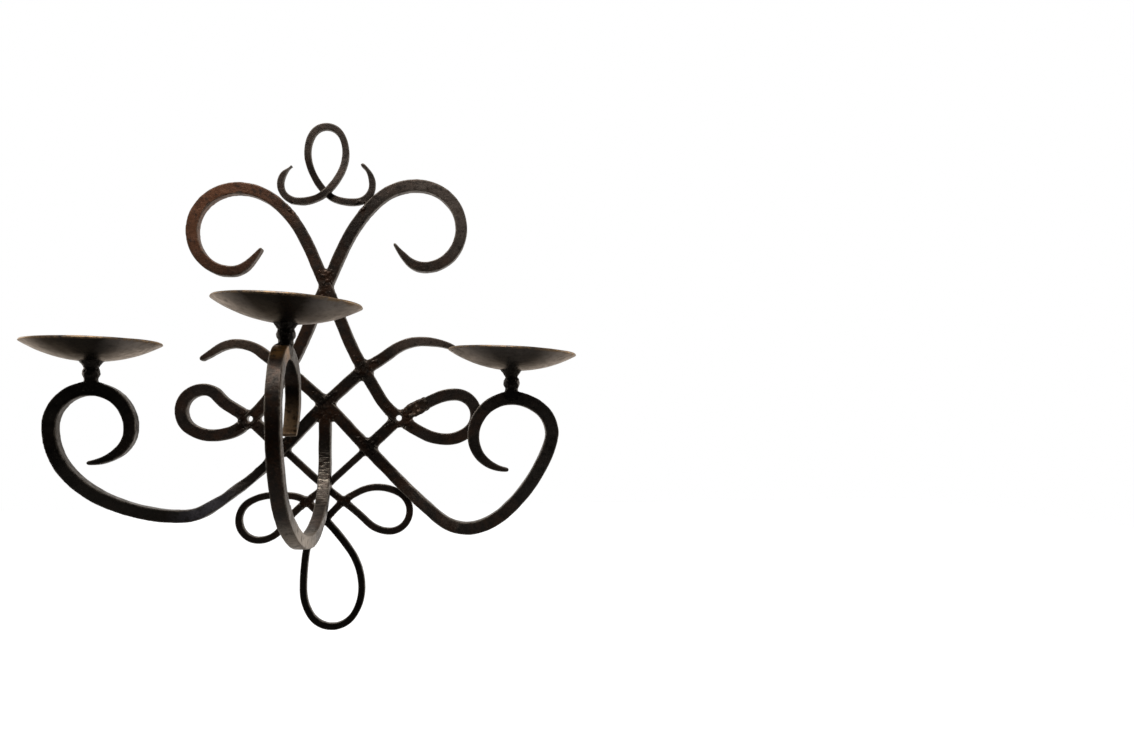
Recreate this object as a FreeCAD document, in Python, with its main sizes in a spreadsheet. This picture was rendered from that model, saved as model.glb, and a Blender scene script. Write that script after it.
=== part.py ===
import FreeCAD, Part

# A wall sconce for three candles, bent and welded from square wrought bar.
#
# +Z is up, the wall is the plane Y = 0 and the room lies towards -Y. The origin is midway
# between the two screw holes, on the wall. Sizes are in millimetres and degrees.
# "out" is a distance to the left or the right of the middle, "height" and "drop" are
# measured up and down from the screw holes, and "reach" is measured from the wall.

import Sketcher
import math
import os

Vector = FreeCAD.Vector

SIZES = (
    # stock
    ("bar_size", 12.0),
    ("thin_bar_size", 7.0),
    ("screw_spacing", 140.0),
    ("screw_bore", 5.5),
    ("hole_edge", 0.8),
    ("bar_overrun", 9.5),
    ("thin_bar_overrun", 6.0),
    # knots, where the bars of the frame cross and are welded
    ("top_knot_height", 127.5),
    ("upper_knot_out", 36.0),
    ("upper_knot_height", 47.0),
    ("centre_knot_height", 14.0),
    ("lower_knot_out", 40.0),
    ("lower_knot_drop", 28.7),
    ("tie_knot_drop", 65.5),
    ("curl_knot_out", 17.0),
    ("curl_knot_drop", 79.2),
    ("neck_knot_drop", 96.7),
    # top scrolls
    ("scroll_neck_out", 23.8),
    ("scroll_neck_height", 180.0),
    ("scroll_top_out", 83.0),
    ("scroll_top_height", 222.0),
    ("scroll_side_out", 126.0),
    ("scroll_side_height", 180.0),
    ("scroll_base_out", 90.0),
    ("scroll_base_height", 141.3),
    ("scroll_tip_out", 61.5),
    ("scroll_tip_height", 163.0),
    ("scroll_base_width", 10.6),
    ("scroll_tip_width", 3.6),
    ("right_scroll_spread", 4.2),
    ("right_scroll_rise", 5.8),
    # horns beside the arms
    ("horn_top_out", 84.0),
    ("horn_top_height", 71.8),
    ("horn_tip_out", 114.8),
    ("horn_tip_height", 57.5),
    ("horn_tip_width", 5.6),
    ("horn_top_width", 9.2),
    ("horn_tip_turn", 33.0),
    ("right_horn_spread", 8.0),
    ("right_horn_rise", 2.6),
    ("right_horn_tip_rise", 8.0),
    ("right_horn_tip_turn", 24.0),
    # side loops beyond the screw holes
    ("loop_base_out", 105.0),
    ("loop_base_drop", 15.5),
    ("loop_side_out", 133.7),
    ("loop_side_height", 8.0),
    ("loop_top_out", 113.5),
    ("loop_top_height", 28.0),
    ("loop_straight", 18.0),
    ("left_loop_turn", 42.0),
    ("right_loop_turn", 36.0),
    ("right_loop_spread", 10.5),
    ("right_loop_drop", 5.3),
    # thin curls and the teardrop under the frame
    ("curl_base_out", 61.5),
    ("curl_base_drop", 115.3),
    ("curl_side_out", 80.2),
    ("curl_side_drop", 96.0),
    ("curl_top_out", 49.0),
    ("curl_top_drop", 73.0),
    ("right_curl_rise", 6.6),
    ("teardrop_half_width", 27.4),
    ("teardrop_widest_drop", 162.0),
    ("teardrop_base_drop", 197.9),
    ("teardrop_lean", 7.5),
    # crown at the top
    ("crown_cross_height", 219.2),
    ("crown_curl_base_out", 26.5),
    ("crown_curl_base_drop", 8.8),
    ("crown_curl_side_out", 43.8),
    ("crown_curl_side_rise", 16.6),
    ("crown_tip_out", 33.0),
    ("crown_tip_rise", 18.0),
    ("crown_tip_width", 2.2),
    ("crown_right_tip_rise", 3.0),
    ("crown_loop_half_width", 18.2),
    ("crown_loop_widest_rise", 40.1),
    ("crown_loop_top_rise", 25.2),
    ("crown_strand_gap", 0.3),
    # side arms
    ("elbow_length", 40.0),
    ("left_elbow_out", 82.0),
    ("left_swing_turn", 45.9),
    ("left_swing_dip", 19.1),
    ("left_swing_pull", 27.7),
    ("left_swing_lift", 66.8),
    ("right_elbow_out", 83.1),
    ("right_swing_turn", 48.1),
    ("right_swing_dip", 27.0),
    ("right_swing_pull", 85.9),
    ("right_swing_lift", 20.3),
    ("spiral_reach", 125.0),
    ("spiral_foot_out", 207.8),
    ("spiral_foot_drop", 17.0),
    ("spiral_top_out", 173.0),
    ("spiral_top_height", 14.0),
    ("spiral_inside_out", 140.0),
    ("spiral_inside_drop", 19.0),
    ("spiral_inside_width", 10.6),
    ("spiral_tip_out", 168.3),
    ("spiral_tip_drop", 47.4),
    ("spiral_tip_width", 4.2),
    ("left_arm_spread", 3.5),
    ("left_arm_rise", 9.0),
    ("left_tip_spread", 3.8),
    # centre arm
    ("centre_straight_drop", 36.0),
    ("centre_base_reach", 118.0),
    ("centre_base_drop", 106.5),
    ("centre_front_reach", 275.0),
    ("centre_front_height", 2.0),
    ("centre_top_reach", 237.0),
    ("centre_top_height", 44.3),
    ("centre_inside_reach", 192.0),
    ("centre_inside_height", 12.0),
    ("centre_tip_reach", 208.0),
    ("centre_tip_drop", 16.5),
    ("centre_tip_turn", 42.0),
    ("centre_arm_turn", 0.43),
    # stems and candle pans
    ("left_stem_height", 16.75),
    ("centre_stem_height", 15.3),
    ("right_stem_height", 18.1),
    ("stem_foot_radius", 6.0),
    ("stem_neck_radius", 5.4),
    ("stem_bead_radius", 7.3),
    ("stem_bead_middle", 7.2),
    ("stem_bead_rise", 4.4),
    ("stem_flare_radius", 7.4),
    ("stem_flare_rise", 2.4),
    ("stem_seat", 1.2),
    ("pan_diameter", 112.0),
    ("pan_depth", 15.5),
    ("pan_thickness", 1.8),
    ("left_pan_tilt", 0.8),
    ("centre_pan_tilt", 3.4),
    ("right_pan_tilt", 3.0),
)

LEFT = -1
RIGHT = 1
UP = 90.0
DOWN = 270.0

document = FreeCAD.newDocument("candle_sconce")
sheet = document.addObject("Spreadsheet::Sheet", "sizes")
for row, (alias, value) in enumerate(SIZES, start=1):
    sheet.set("A%d" % row, alias)
    sheet.set("B%d" % row, str(value))
    sheet.setAlias("B%d" % row, alias)
document.recompute()

parts = {}


def size(alias):
    return float(sheet.get(alias))


def aim(degrees):
    """A unit vector in a drawing plane."""
    angle = math.radians(degrees)
    return Vector(math.cos(angle), math.sin(angle), 0)


def left_of(direction):
    return Vector(-direction.y, direction.x, 0)


def mirrored(side, heading):
    """The heading of a right-hand line, or of its mirror image on the left."""
    return heading if side == RIGHT else 180.0 - heading


# Bent bars: a bar's centre line goes through a few nodes. Each node is (place, heading,
# width of the bar there), and two tangent arcs join each node to the next.


def node(across, up, heading, width):
    return Vector(across, up, 0), heading, width


def side_node(side, out, up, heading, width):
    return node(side * out, up, mirrored(side, heading), width)


def biarc(start, start_heading, end, end_heading):
    """Two tangent arcs between two nodes, each as (start, direction at start, end)."""
    leave = aim(start_heading)
    arrive = aim(end_heading)
    chord = end - start
    both = leave + arrive
    bend = 2.0 * (1.0 - leave.dot(arrive))
    if bend < 1e-9:
        reach = chord.dot(chord) / (4.0 * chord.dot(arrive))
    else:
        along = chord.dot(both)
        reach = (math.sqrt(along * along + bend * chord.dot(chord)) - along) / bend
    joint = (start + leave * reach + end - arrive * reach) * 0.5
    middle = (end - arrive * reach - start - leave * reach).normalize()
    return (start, leave, joint), (joint, middle, end)


def along_arc(start, leave, end, share):
    """A place on an arc, with the direction to its left there."""
    chord = end - start
    half_turn = math.atan2(leave.x * chord.y - leave.y * chord.x, leave.dot(chord))
    reach = chord.Length * share
    if abs(half_turn) > 1e-6:
        reach = chord.Length * math.sin(half_turn * share) / math.sin(half_turn)
    first = math.atan2(leave.y, leave.x)
    place = start + aim(math.degrees(first + half_turn * share)) * reach
    return place, left_of(aim(math.degrees(first + 2.0 * half_turn * share)))


def tapered(width, next_width, share):
    """The full width is left gently, and most of the taper is near the tip."""
    if next_width > width:
        return next_width - (next_width - width) * (1.0 - share) ** 1.6
    return width + (next_width - width) * share ** 1.6


def centre_arcs(nodes):
    """The arcs of a centre line, with the bar's width at each arc's start, middle and end."""
    for (place, heading, width), (next_place, next_heading, next_width) in zip(nodes, nodes[1:]):
        arcs = biarc(place, heading, next_place, next_heading)
        for index, arc in enumerate(arcs):
            frames = [along_arc(*arc, share) for share in (0.0, 0.5, 1.0)]
            widths = [tapered(width, next_width, (index + share) / 2.0) for share in (0.0, 0.5, 1.0)]
            yield frames, widths


def curve_through(points):
    start, middle, end = points
    if (end - start).cross(middle - start).Length < 1e-5 * (end - start).Length:
        return Part.LineSegment(start, end)
    return Part.Arc(start, middle, end)


def bar_outline(nodes, round_tip=False):
    """The two long edges and the two ends of a bent bar, in order."""
    left_edge = []
    right_edge = []
    for frames, widths in centre_arcs(nodes):
        left_edge.append([place + side * (width / 2.0) for (place, side), width in zip(frames, widths)])
        right_edge.append([place - side * (width / 2.0) for (place, side), width in zip(frames, widths)])
    start_left = left_edge[0][0]
    start_right = right_edge[0][0]
    end_left = left_edge[-1][2]
    end_right = right_edge[-1][2]
    outline = [curve_through(points) for points in left_edge]
    outline.append(Part.LineSegment(end_left, end_right))
    outline.extend(curve_through(points[::-1]) for points in reversed(right_edge))
    if round_tip:
        tip = (start_left + start_right) * 0.5 - aim(nodes[0][1]) * (nodes[0][2] / 2.0)
        outline.append(Part.Arc(start_right, tip, start_left))
    else:
        outline.append(Part.LineSegment(start_right, start_left))
    return outline


# Making and fitting the pieces


def origin_plane(body, role):
    return next(feature for feature in body.Origin.OriginFeatures if feature.Role == role)


def sketch_on(body, role, name):
    sketch = body.newObject("Sketcher::SketchObject", name)
    sketch.AttachmentSupport = (origin_plane(body, role), [""])
    sketch.MapMode = "FlatFace"
    return sketch


def add_outline(sketch, curves):
    for curve in curves:
        sketch.addGeometry(curve, False)


def flat_bar(name, nodes, stock, round_tip=False, reach=None):
    """A bar bent in a plane parallel to the wall: its outline, padded by its own size."""
    body = document.addObject("PartDesign::Body", name)
    sketch = sketch_on(body, "XZ_Plane", name + "_outline")
    if reach:
        sketch.setExpression("AttachmentOffset.Base.z", reach)
    add_outline(sketch, bar_outline(nodes, round_tip))
    pad = body.newObject("PartDesign::Pad", name + "_pad")
    pad.Profile = sketch
    pad.setExpression("Length", "sizes." + stock)
    document.recompute()
    return body


def drill(body, out):
    """The screw hole through a bar, square to the wall."""
    sketch = sketch_on(body, "XZ_Plane", body.Name + "_hole_centre")
    sketch.addGeometry(Part.Circle(Vector(out, 0, 0), Vector(0, 0, 1), size("screw_bore") / 2.0), False)
    sketch.addConstraint(Sketcher.Constraint("Diameter", 0, size("screw_bore")))
    sketch.setExpression("Constraints[0]", "sizes.screw_bore")
    hole = body.newObject("PartDesign::Pocket", body.Name + "_hole")
    hole.Profile = sketch
    hole.Type = 1
    hole.Reversed = True
    solid_before = body.Shape.Volume
    document.recompute()
    if body.Shape.Volume > solid_before - 1.0:
        raise RuntimeError("the screw hole cut nothing from " + body.Name)


def coped(name, blank, *neighbours):
    """A piece whose ends are cut to seat on the pieces that it is welded to."""
    piece = blank
    for count, neighbour in enumerate(neighbours, start=1):
        cut = document.addObject("Part::Cut", "%s_cope_%d" % (name, count))
        cut.Base = piece
        cut.Tool = neighbour
        piece = cut
    document.recompute()
    return piece


def keep(name, piece):
    if piece.Label != name:
        for other in document.Objects:
            if other.Label == name:
                other.Label = name + "_blank"
        piece.Label = name
    parts[name] = piece
    return piece


# Nodes that several pieces share

BAR = size("bar_size")
THIN = size("thin_bar_size")
SIDES = ((LEFT, "left"), (RIGHT, "right"))


def knot(name, side=0):
    """The place of a crossing in the frame."""
    places = {
        "top": (0.0, size("top_knot_height")),
        "upper": (size("upper_knot_out"), size("upper_knot_height")),
        "centre": (0.0, size("centre_knot_height")),
        "lower": (size("lower_knot_out"), -size("lower_knot_drop")),
        "tie": (0.0, -size("tie_knot_drop")),
        "curl": (size("curl_knot_out"), -size("curl_knot_drop")),
        "neck": (0.0, -size("neck_knot_drop")),
        "screw": (size("screw_spacing") / 2.0, 0.0),
    }
    out, up = places[name]
    return Vector(side * out, up, 0)


def beside_hole(side, toward):
    """Where a bar that is welded on beside a screw hole ends, clear of the hole."""
    screw = knot("screw", side)
    return screw + (toward - screw).normalize() * (size("screw_bore") / 2.0 + size("hole_edge"))


def heading_between(start, end):
    return math.degrees(math.atan2(end.y - start.y, end.x - start.x))


def mean_heading(first, second):
    total = aim(first) + aim(second)
    return math.degrees(math.atan2(total.y, total.x))


# The upper frame: scroll bars, horns and the bar across the centre


def brace_nodes(side):
    """From the top knot down to the screw hole of one side, and a little past it."""
    top = knot("top")
    upper = knot("upper", side)
    screw = knot("screw", side)
    steep = heading_between(top, upper)
    loop_turn = size("left_loop_turn") if side == LEFT else size("right_loop_turn")
    past_screw = mirrored(side, -loop_turn)
    end = screw + aim(past_screw) * size("bar_overrun")
    return [
        (top, steep, BAR),
        (upper, mean_heading(steep, heading_between(upper, screw)), BAR),
        (screw, past_screw, BAR),
        (end, past_screw, BAR),
    ]


def scroll_nodes(side):
    """From the tip of a top scroll round to the top knot."""
    spread = size("right_scroll_spread") if side == RIGHT else 0.0
    rise = size("right_scroll_rise") if side == RIGHT else 0.0

    def loose(part, heading, width):
        out = size("scroll_%s_out" % part) + spread
        return side_node(side, out, size("scroll_%s_height" % part) + rise, heading, width)

    neck = side_node(side, size("scroll_neck_out"), size("scroll_neck_height"), 241.0, BAR)
    steep = heading_between(knot("top"), knot("upper", -side))
    return [
        loose("tip", 305.0, size("scroll_tip_width")),
        loose("base", 0.0, size("scroll_base_width")),
        loose("side", UP, BAR),
        loose("top", 180.0, BAR),
        neck,
        (knot("top"), steep, BAR),
    ]


scroll_bar_left = flat_bar("scroll_bar_left", scroll_nodes(LEFT) + brace_nodes(RIGHT)[1:], "bar_size", True)
drill(scroll_bar_left, size("screw_spacing") / 2.0)
keep("scroll_bar_left", scroll_bar_left)

scroll_bar_right = flat_bar("scroll_bar_right", scroll_nodes(RIGHT), "bar_size", True)
keep("scroll_bar_right", coped("scroll_bar_right", scroll_bar_right, scroll_bar_left))

brace_left = flat_bar("brace_left", brace_nodes(LEFT), "bar_size")
drill(brace_left, -size("screw_spacing") / 2.0)
keep("brace_left", coped("brace_left", brace_left, scroll_bar_left))

screw_bars = {LEFT: brace_left, RIGHT: scroll_bar_left}


def horn_nodes(side):
    top_out = size("horn_top_out")
    top_height = size("horn_top_height")
    tip_out = size("horn_tip_out")
    tip_height = size("horn_tip_height")
    tip_turn = size("horn_tip_turn")
    if side == RIGHT:
        top_out += size("right_horn_spread")
        top_height += size("right_horn_rise")
        tip_out += size("right_horn_spread")
        tip_height += size("right_horn_rise") + size("right_horn_tip_rise")
        tip_turn = size("right_horn_tip_turn")
    return [
        side_node(side, tip_out, tip_height, 180.0 - tip_turn, size("horn_tip_width")),
        side_node(side, top_out, top_height, 180.0, size("horn_top_width")),
        (knot("upper", side), mirrored(side, 208.0), BAR),
    ]


for side, name in SIDES:
    horn = flat_bar("horn_" + name, horn_nodes(side), "bar_size", True)
    keep("horn_" + name, coped("horn_" + name, horn, screw_bars[side]))


# Side loops, from the screw hole out and back to it


def loop_nodes(side):
    spread = size("right_loop_spread") if side == RIGHT else 0.0
    drop = size("right_loop_drop") if side == RIGHT else 0.0
    start, leaving, width = brace_nodes(side)[-1]
    arriving = mirrored(side, 212.0 if side == LEFT else 209.0)
    end = beside_hole(side, knot("screw", side) - aim(arriving))
    straight_start = end - aim(arriving) * size("loop_straight")
    return [
        (start, leaving, width),
        side_node(side, size("loop_base_out") + spread, -size("loop_base_drop") - drop, 0.0, BAR),
        side_node(side, size("loop_side_out") + spread, size("loop_side_height") - drop, UP, BAR),
        side_node(side, size("loop_top_out") + spread, size("loop_top_height") - drop, 180.0, BAR),
        (straight_start, arriving, BAR),
        (end, arriving, BAR),
    ]


for side, name in SIDES:
    loop = flat_bar("side_loop_" + name, loop_nodes(side), "bar_size")
    keep("side_loop_" + name, coped("side_loop_" + name, loop, screw_bars[side]))


# Side arms: a straight run in the frame, an elbow off the wall, a swing out into the room
# and a spiral that stands parallel to the wall


def arm_line(side):
    """The heading of the straight run through the lower knot."""
    return heading_between(knot("centre"), knot("lower", side))


def in_room(place, reach):
    return Vector(place.x, -reach, place.y)


def elbow_start(side, name):
    centre = knot("centre")
    direction = aim(arm_line(side))
    corner = centre + direction * (size(name + "_elbow_out") / abs(direction.x))
    return corner, corner - direction * size("elbow_length")


def arm_wall_nodes(side, name):
    centre = knot("centre")
    heading = arm_line(side)
    end = elbow_start(side, name)[1]
    if side == LEFT:
        return [(centre, heading, BAR), (end, heading, BAR)]
    upper = knot("upper", LEFT)
    upper_heading = heading_between(upper, centre)
    return [
        (upper, upper_heading, BAR),
        (centre, mean_heading(upper_heading, heading), BAR),
        (knot("lower", side), heading, BAR),
        (end, heading, BAR),
    ]


def spiral_nodes(side):
    spread = size("left_arm_spread") if side == LEFT else 0.0
    rise = size("left_arm_rise") if side == LEFT else 0.0
    tip_out = size("spiral_tip_out") + spread
    if side == LEFT:
        tip_out += size("left_tip_spread")

    def on_spiral(part, height, heading, width):
        return side_node(side, size("spiral_%s_out" % part) + spread, height + rise, heading, width)

    tip_height = rise - size("spiral_tip_drop")
    foot_height = rise - size("spiral_foot_drop")
    return [
        side_node(side, tip_out, tip_height, 176.0, size("spiral_tip_width")),
        on_spiral("inside", -size("spiral_inside_drop"), UP, size("spiral_inside_width")),
        on_spiral("top", size("spiral_top_height"), 0.0, BAR),
        side_node(side, size("spiral_foot_out"), foot_height, DOWN, BAR),
    ]


def bezier(points, share):
    """A place on the curve and the direction of the curve there."""
    while len(points) > 2:
        points = [a + (b - a) * share for a, b in zip(points, points[1:])]
    return points[0] + (points[1] - points[0]) * share, (points[1] - points[0]).normalize()


def bar_section(place, along, face, width, depth):
    """The section of a bar that runs along one direction and has a face towards another."""
    face = (face - along * face.dot(along)).normalize()
    beside = along.cross(face)
    half_width = beside * (width / 2.0)
    half_depth = face * (depth / 2.0)
    corners = [
        place - half_width - half_depth,
        place + half_width - half_depth,
        place + half_width + half_depth,
        place - half_width + half_depth,
    ]
    return Part.makePolygon(corners + corners[:1])


def even_stations(curves, spacing):
    """Places at equal steps along joined curves, each with the direction of the curve there."""
    fine = [bezier(curve, step / 80.0) for curve in curves for step in range(80)]
    fine.append(bezier(curves[-1], 1.0))
    travelled = [0.0]
    for (place, _), (next_place, _) in zip(fine, fine[1:]):
        travelled.append(travelled[-1] + (next_place - place).Length)
    count = int(math.ceil(travelled[-1] / spacing))
    goals = [travelled[-1] * step / count for step in range(count + 1)]
    nearest = [min(range(len(fine)), key=lambda index: abs(travelled[index] - goal)) for goal in goals]
    return [fine[index] for index in nearest]


def swing_sections(side, name):
    """Square sections from the wall to the foot of the spiral. The bar bends off the wall
    without a twist, so one of its faces looks at the room all the way."""
    corner, start = elbow_start(side, name)
    turn = math.radians(size(name + "_swing_turn"))
    dip = math.radians(size(name + "_swing_dip"))
    corner = in_room(corner, BAR / 2.0)
    start = in_room(start, BAR / 2.0)
    away = Vector(side * math.cos(turn) * math.cos(dip), -math.sin(turn) * math.cos(dip), -math.sin(dip))
    elbow_end = corner + away * size("elbow_length")
    foot = in_room(spiral_nodes(side)[-1][0], size("spiral_reach"))
    lift = Vector(0, 0, size(name + "_swing_lift"))
    elbow = [start, corner, elbow_end]
    swing = [elbow_end, elbow_end + away * size(name + "_swing_pull"), foot - lift, foot]
    stations = even_stations([elbow, swing], BAR * 1.3)
    return [bar_section(place, along, Vector(0, -1, 0), BAR, BAR) for place, along in stations]


def side_arm(side, name):
    label = "arm_" + name
    wall_run = flat_bar(label + "_run", arm_wall_nodes(side, name), "bar_size")
    swing = document.addObject("Part::Feature", label + "_swing")
    swing.Shape = Part.makeLoft(swing_sections(side, name), True, False)
    spiral = flat_bar(label + "_spiral", spiral_nodes(side), "bar_size", True,
                      "sizes.spiral_reach - sizes.bar_size / 2")
    arm = document.addObject("Part::MultiFuse", label)
    arm.Shapes = [wall_run, swing, spiral]
    arm.Refine = True
    document.recompute()
    return arm


arm_right = keep("arm_right", coped("arm_right", side_arm(RIGHT, "right"), brace_left))
arm_left = keep("arm_left", coped("arm_left", side_arm(LEFT, "left"), arm_right))

centre = knot("centre")
upper_right = knot("upper", RIGHT)
across = heading_between(upper_right, centre)
cross_bar = flat_bar("cross_bar", [(upper_right, across, BAR), (centre, across, BAR)], "bar_size")
keep("cross_bar", coped("cross_bar", cross_bar, scroll_bar_left, arm_right))

arms = {LEFT: arm_left, RIGHT: arm_right}
for side, name in SIDES:
    end = knot("lower", side)
    start = beside_hole(side, end)
    heading = heading_between(start, end)
    strut = flat_bar("strut_" + name, [(start, heading, BAR), (end, heading, BAR)], "bar_size")
    keep("strut_" + name, coped("strut_" + name, strut, screw_bars[side], arms[side]))


# The centre arm, bent in the upright plane through the middle


def room_node(reach, up, heading, width=BAR):
    """A node in the upright plane, whose drawing has the room on its left."""
    return side_node(LEFT, reach, up, heading, width)


def centre_arm_nodes():
    bar_middle = BAR / 2.0
    straight_end = -size("centre_straight_drop")
    return [
        room_node(size("centre_tip_reach"), -size("centre_tip_drop"), 180.0 - size("centre_tip_turn"),
                  size("spiral_tip_width")),
        room_node(size("centre_inside_reach"), size("centre_inside_height"), UP),
        room_node(size("centre_top_reach"), size("centre_top_height"), 0.0),
        room_node(size("centre_front_reach"), size("centre_front_height"), DOWN),
        room_node(size("centre_base_reach"), -size("centre_base_drop"), 180.0),
        room_node(bar_middle, straight_end, UP),
        room_node(bar_middle, size("centre_knot_height"), UP),
    ]


def upright_bar(name, nodes, stock, turn):
    """A bar bent in an upright plane square to the wall, then turned a little to the left."""
    body = document.addObject("PartDesign::Body", name)
    sketch = sketch_on(body, "YZ_Plane", name + "_outline")
    add_outline(sketch, bar_outline(nodes, True))
    pad = body.newObject("PartDesign::Pad", name + "_pad")
    pad.Profile = sketch
    pad.Midplane = True
    pad.setExpression("Length", "sizes." + stock)
    body.Placement = FreeCAD.Placement(Vector(), FreeCAD.Rotation(Vector(0, 0, -1), 0))
    body.setExpression("Placement.Rotation.Angle", "sizes." + turn)
    document.recompute()
    return body


centre_bar = upright_bar("arm_centre", centre_arm_nodes(), "bar_size", "centre_arm_turn")
arm_centre = keep("arm_centre", coped("arm_centre", centre_bar, arm_right, arm_left))


# Thin ties under the frame, the curls that end them, and the teardrop

lower_left = knot("lower", LEFT)
lower_right = knot("lower", RIGHT)
tie_middle = knot("tie")
neck = knot("neck")


def past(place, heading):
    return place + aim(heading) * size("thin_bar_overrun")


def thin_run(name, places, *neighbours):
    """A thin bar through two or three places, bent a little at the middle one."""
    headings = [heading_between(start, end) for start, end in zip(places, places[1:])]
    bends = [mean_heading(first, second) for first, second in zip(headings, headings[1:])]
    nodes = [(place, heading, THIN) for place, heading in zip(places, headings[:1] + bends + headings[-1:])]
    return keep(name, coped(name, flat_bar(name, nodes, "thin_bar_size"), *neighbours))


curl_right = knot("curl", RIGHT)
curl_left = knot("curl", LEFT)
right_end = heading_between(tie_middle, curl_right)
left_end = heading_between(tie_middle, curl_left)

tie_long = thin_run("tie_long", [lower_left, tie_middle, past(curl_right, right_end)], arm_left, arm_centre)
thin_run("tie_right", [lower_right, tie_middle], arm_right, arm_centre, tie_long)
tie_left = thin_run("tie_left", [tie_middle, past(curl_left, left_end)], arm_centre, tie_long)
ties = {LEFT: tie_left, RIGHT: tie_long}


def curl_nodes(side):
    rise = size("right_curl_rise") if side == RIGHT else 0.0
    crossing = knot("curl", side)
    leaving = heading_between(tie_middle, crossing)
    return [
        (past(crossing, leaving), leaving, THIN),
        side_node(side, size("curl_base_out"), rise - size("curl_base_drop"), 0.0, THIN),
        side_node(side, size("curl_side_out"), rise - size("curl_side_drop"), UP, THIN),
        side_node(side, size("curl_top_out"), rise - size("curl_top_drop"), 180.0, THIN),
        (crossing, mirrored(side, 215.0), THIN),
    ]


for side, name in SIDES:
    curl = flat_bar("curl_" + name, curl_nodes(side), "thin_bar_size")
    keep("curl_" + name, coped("curl_" + name, curl, ties[side], arms[side]))

neck_heading = heading_between(curl_right, neck)
link_right = thin_run("link_right", [curl_right, past(neck, neck_heading)], tie_long)
thin_run("link_left", [curl_left, neck], tie_left, link_right)


def teardrop_nodes():
    lean = size("teardrop_lean")
    half = size("teardrop_half_width")
    widest = -size("teardrop_widest_drop")
    base = -size("teardrop_base_drop")
    arriving = heading_between(neck, curl_left)
    return [
        (past(neck, neck_heading), neck_heading, THIN),
        node(lean - half, widest, DOWN, THIN),
        node(lean, base, 0.0, THIN),
        node(lean + half, widest, UP, THIN),
        (neck, arriving, THIN),
    ]


teardrop = flat_bar("teardrop", teardrop_nodes(), "thin_bar_size")
keep("teardrop", coped("teardrop", teardrop, link_right))


# The crown: one thin bar whose left strand passes over its right strand


def crown_stations():
    """Nodes of the crown's centre line, each with its reach from the wall."""
    flat = THIN / 2.0
    over = flat + THIN + size("crown_strand_gap")
    between = (flat + over) / 2.0
    tip_width = size("crown_tip_width")
    crossing = size("crown_cross_height")
    widest = crossing + size("crown_loop_widest_rise")
    curl_base = crossing - size("crown_curl_base_drop")
    curl_side = curl_base + size("crown_curl_side_rise")
    left_tip = curl_side + size("crown_tip_rise")
    right_tip = left_tip + size("crown_right_tip_rise")
    return [
        (side_node(LEFT, size("crown_tip_out"), left_tip, 325.0, tip_width), between),
        (side_node(LEFT, size("crown_curl_side_out"), curl_side, DOWN, THIN), between),
        (side_node(LEFT, size("crown_curl_base_out"), curl_base, 180.0, THIN), between),
        (node(0.0, crossing, 45.0, THIN), over),
        (node(size("crown_loop_half_width"), widest, UP, THIN), between),
        (node(0.0, widest + size("crown_loop_top_rise"), 180.0, THIN), between),
        (node(-size("crown_loop_half_width"), widest, DOWN, THIN), between),
        (node(0.0, crossing, -45.0, THIN), flat),
        (node(size("crown_curl_base_out"), curl_base, 0.0, THIN), between),
        (node(size("crown_curl_side_out"), curl_side, UP, THIN), between),
        (node(size("crown_tip_out"), right_tip, 148.0, tip_width), between),
    ]


def crown_sections():
    """Square sections along the crown, close together where it bends tightly."""
    stations = crown_stations()
    places = []
    widths = []
    for (first, first_reach), (second, second_reach) in zip(stations, stations[1:]):
        for index, arc in enumerate(biarc(first[0], first[1], second[0], second[1])):
            turn = math.degrees(along_arc(*arc, 0.0)[1].getAngle(along_arc(*arc, 1.0)[1]))
            steps = max(1, int(math.ceil(turn / 26.0)))
            for step in range(steps):
                share = (index + step / steps) / 2.0
                ease = (1.0 - math.cos(math.pi * share)) / 2.0
                place = along_arc(*arc, step / steps)[0]
                places.append(in_room(place, first_reach + (second_reach - first_reach) * ease))
                widths.append(tapered(first[2], second[2], share))
    last, last_reach = stations[-1]
    places.append(in_room(last[0], last_reach))
    widths.append(last[2])
    sections = []
    for index, (place, width) in enumerate(zip(places, widths)):
        before = places[max(index - 1, 0)]
        after = places[min(index + 1, len(places) - 1)]
        along = (after - before).normalize()
        sections.append(bar_section(place, along, Vector(0, -1, 0), width, THIN))
    return sections


crown = document.addObject("Part::Feature", "crown")
crown.Shape = Part.makeLoft(crown_sections(), True, False)
keep("crown", coped("crown", crown, scroll_bar_left, parts["scroll_bar_right"]))


# Stems and candle pans, one of each on the top of every spiral


def revolved(name, draw, *measures):
    """A body turned about its own upright axis."""
    body = document.addObject("PartDesign::Body", name)
    sketch = sketch_on(body, "XZ_Plane", name + "_outline")
    draw(sketch, *measures)
    turned = body.newObject("PartDesign::Revolution", name + "_turned")
    turned.Profile = sketch
    turned.ReferenceAxis = (sketch, ["V_Axis"])
    turned.Angle = 360.0
    document.recompute()
    return body


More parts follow.
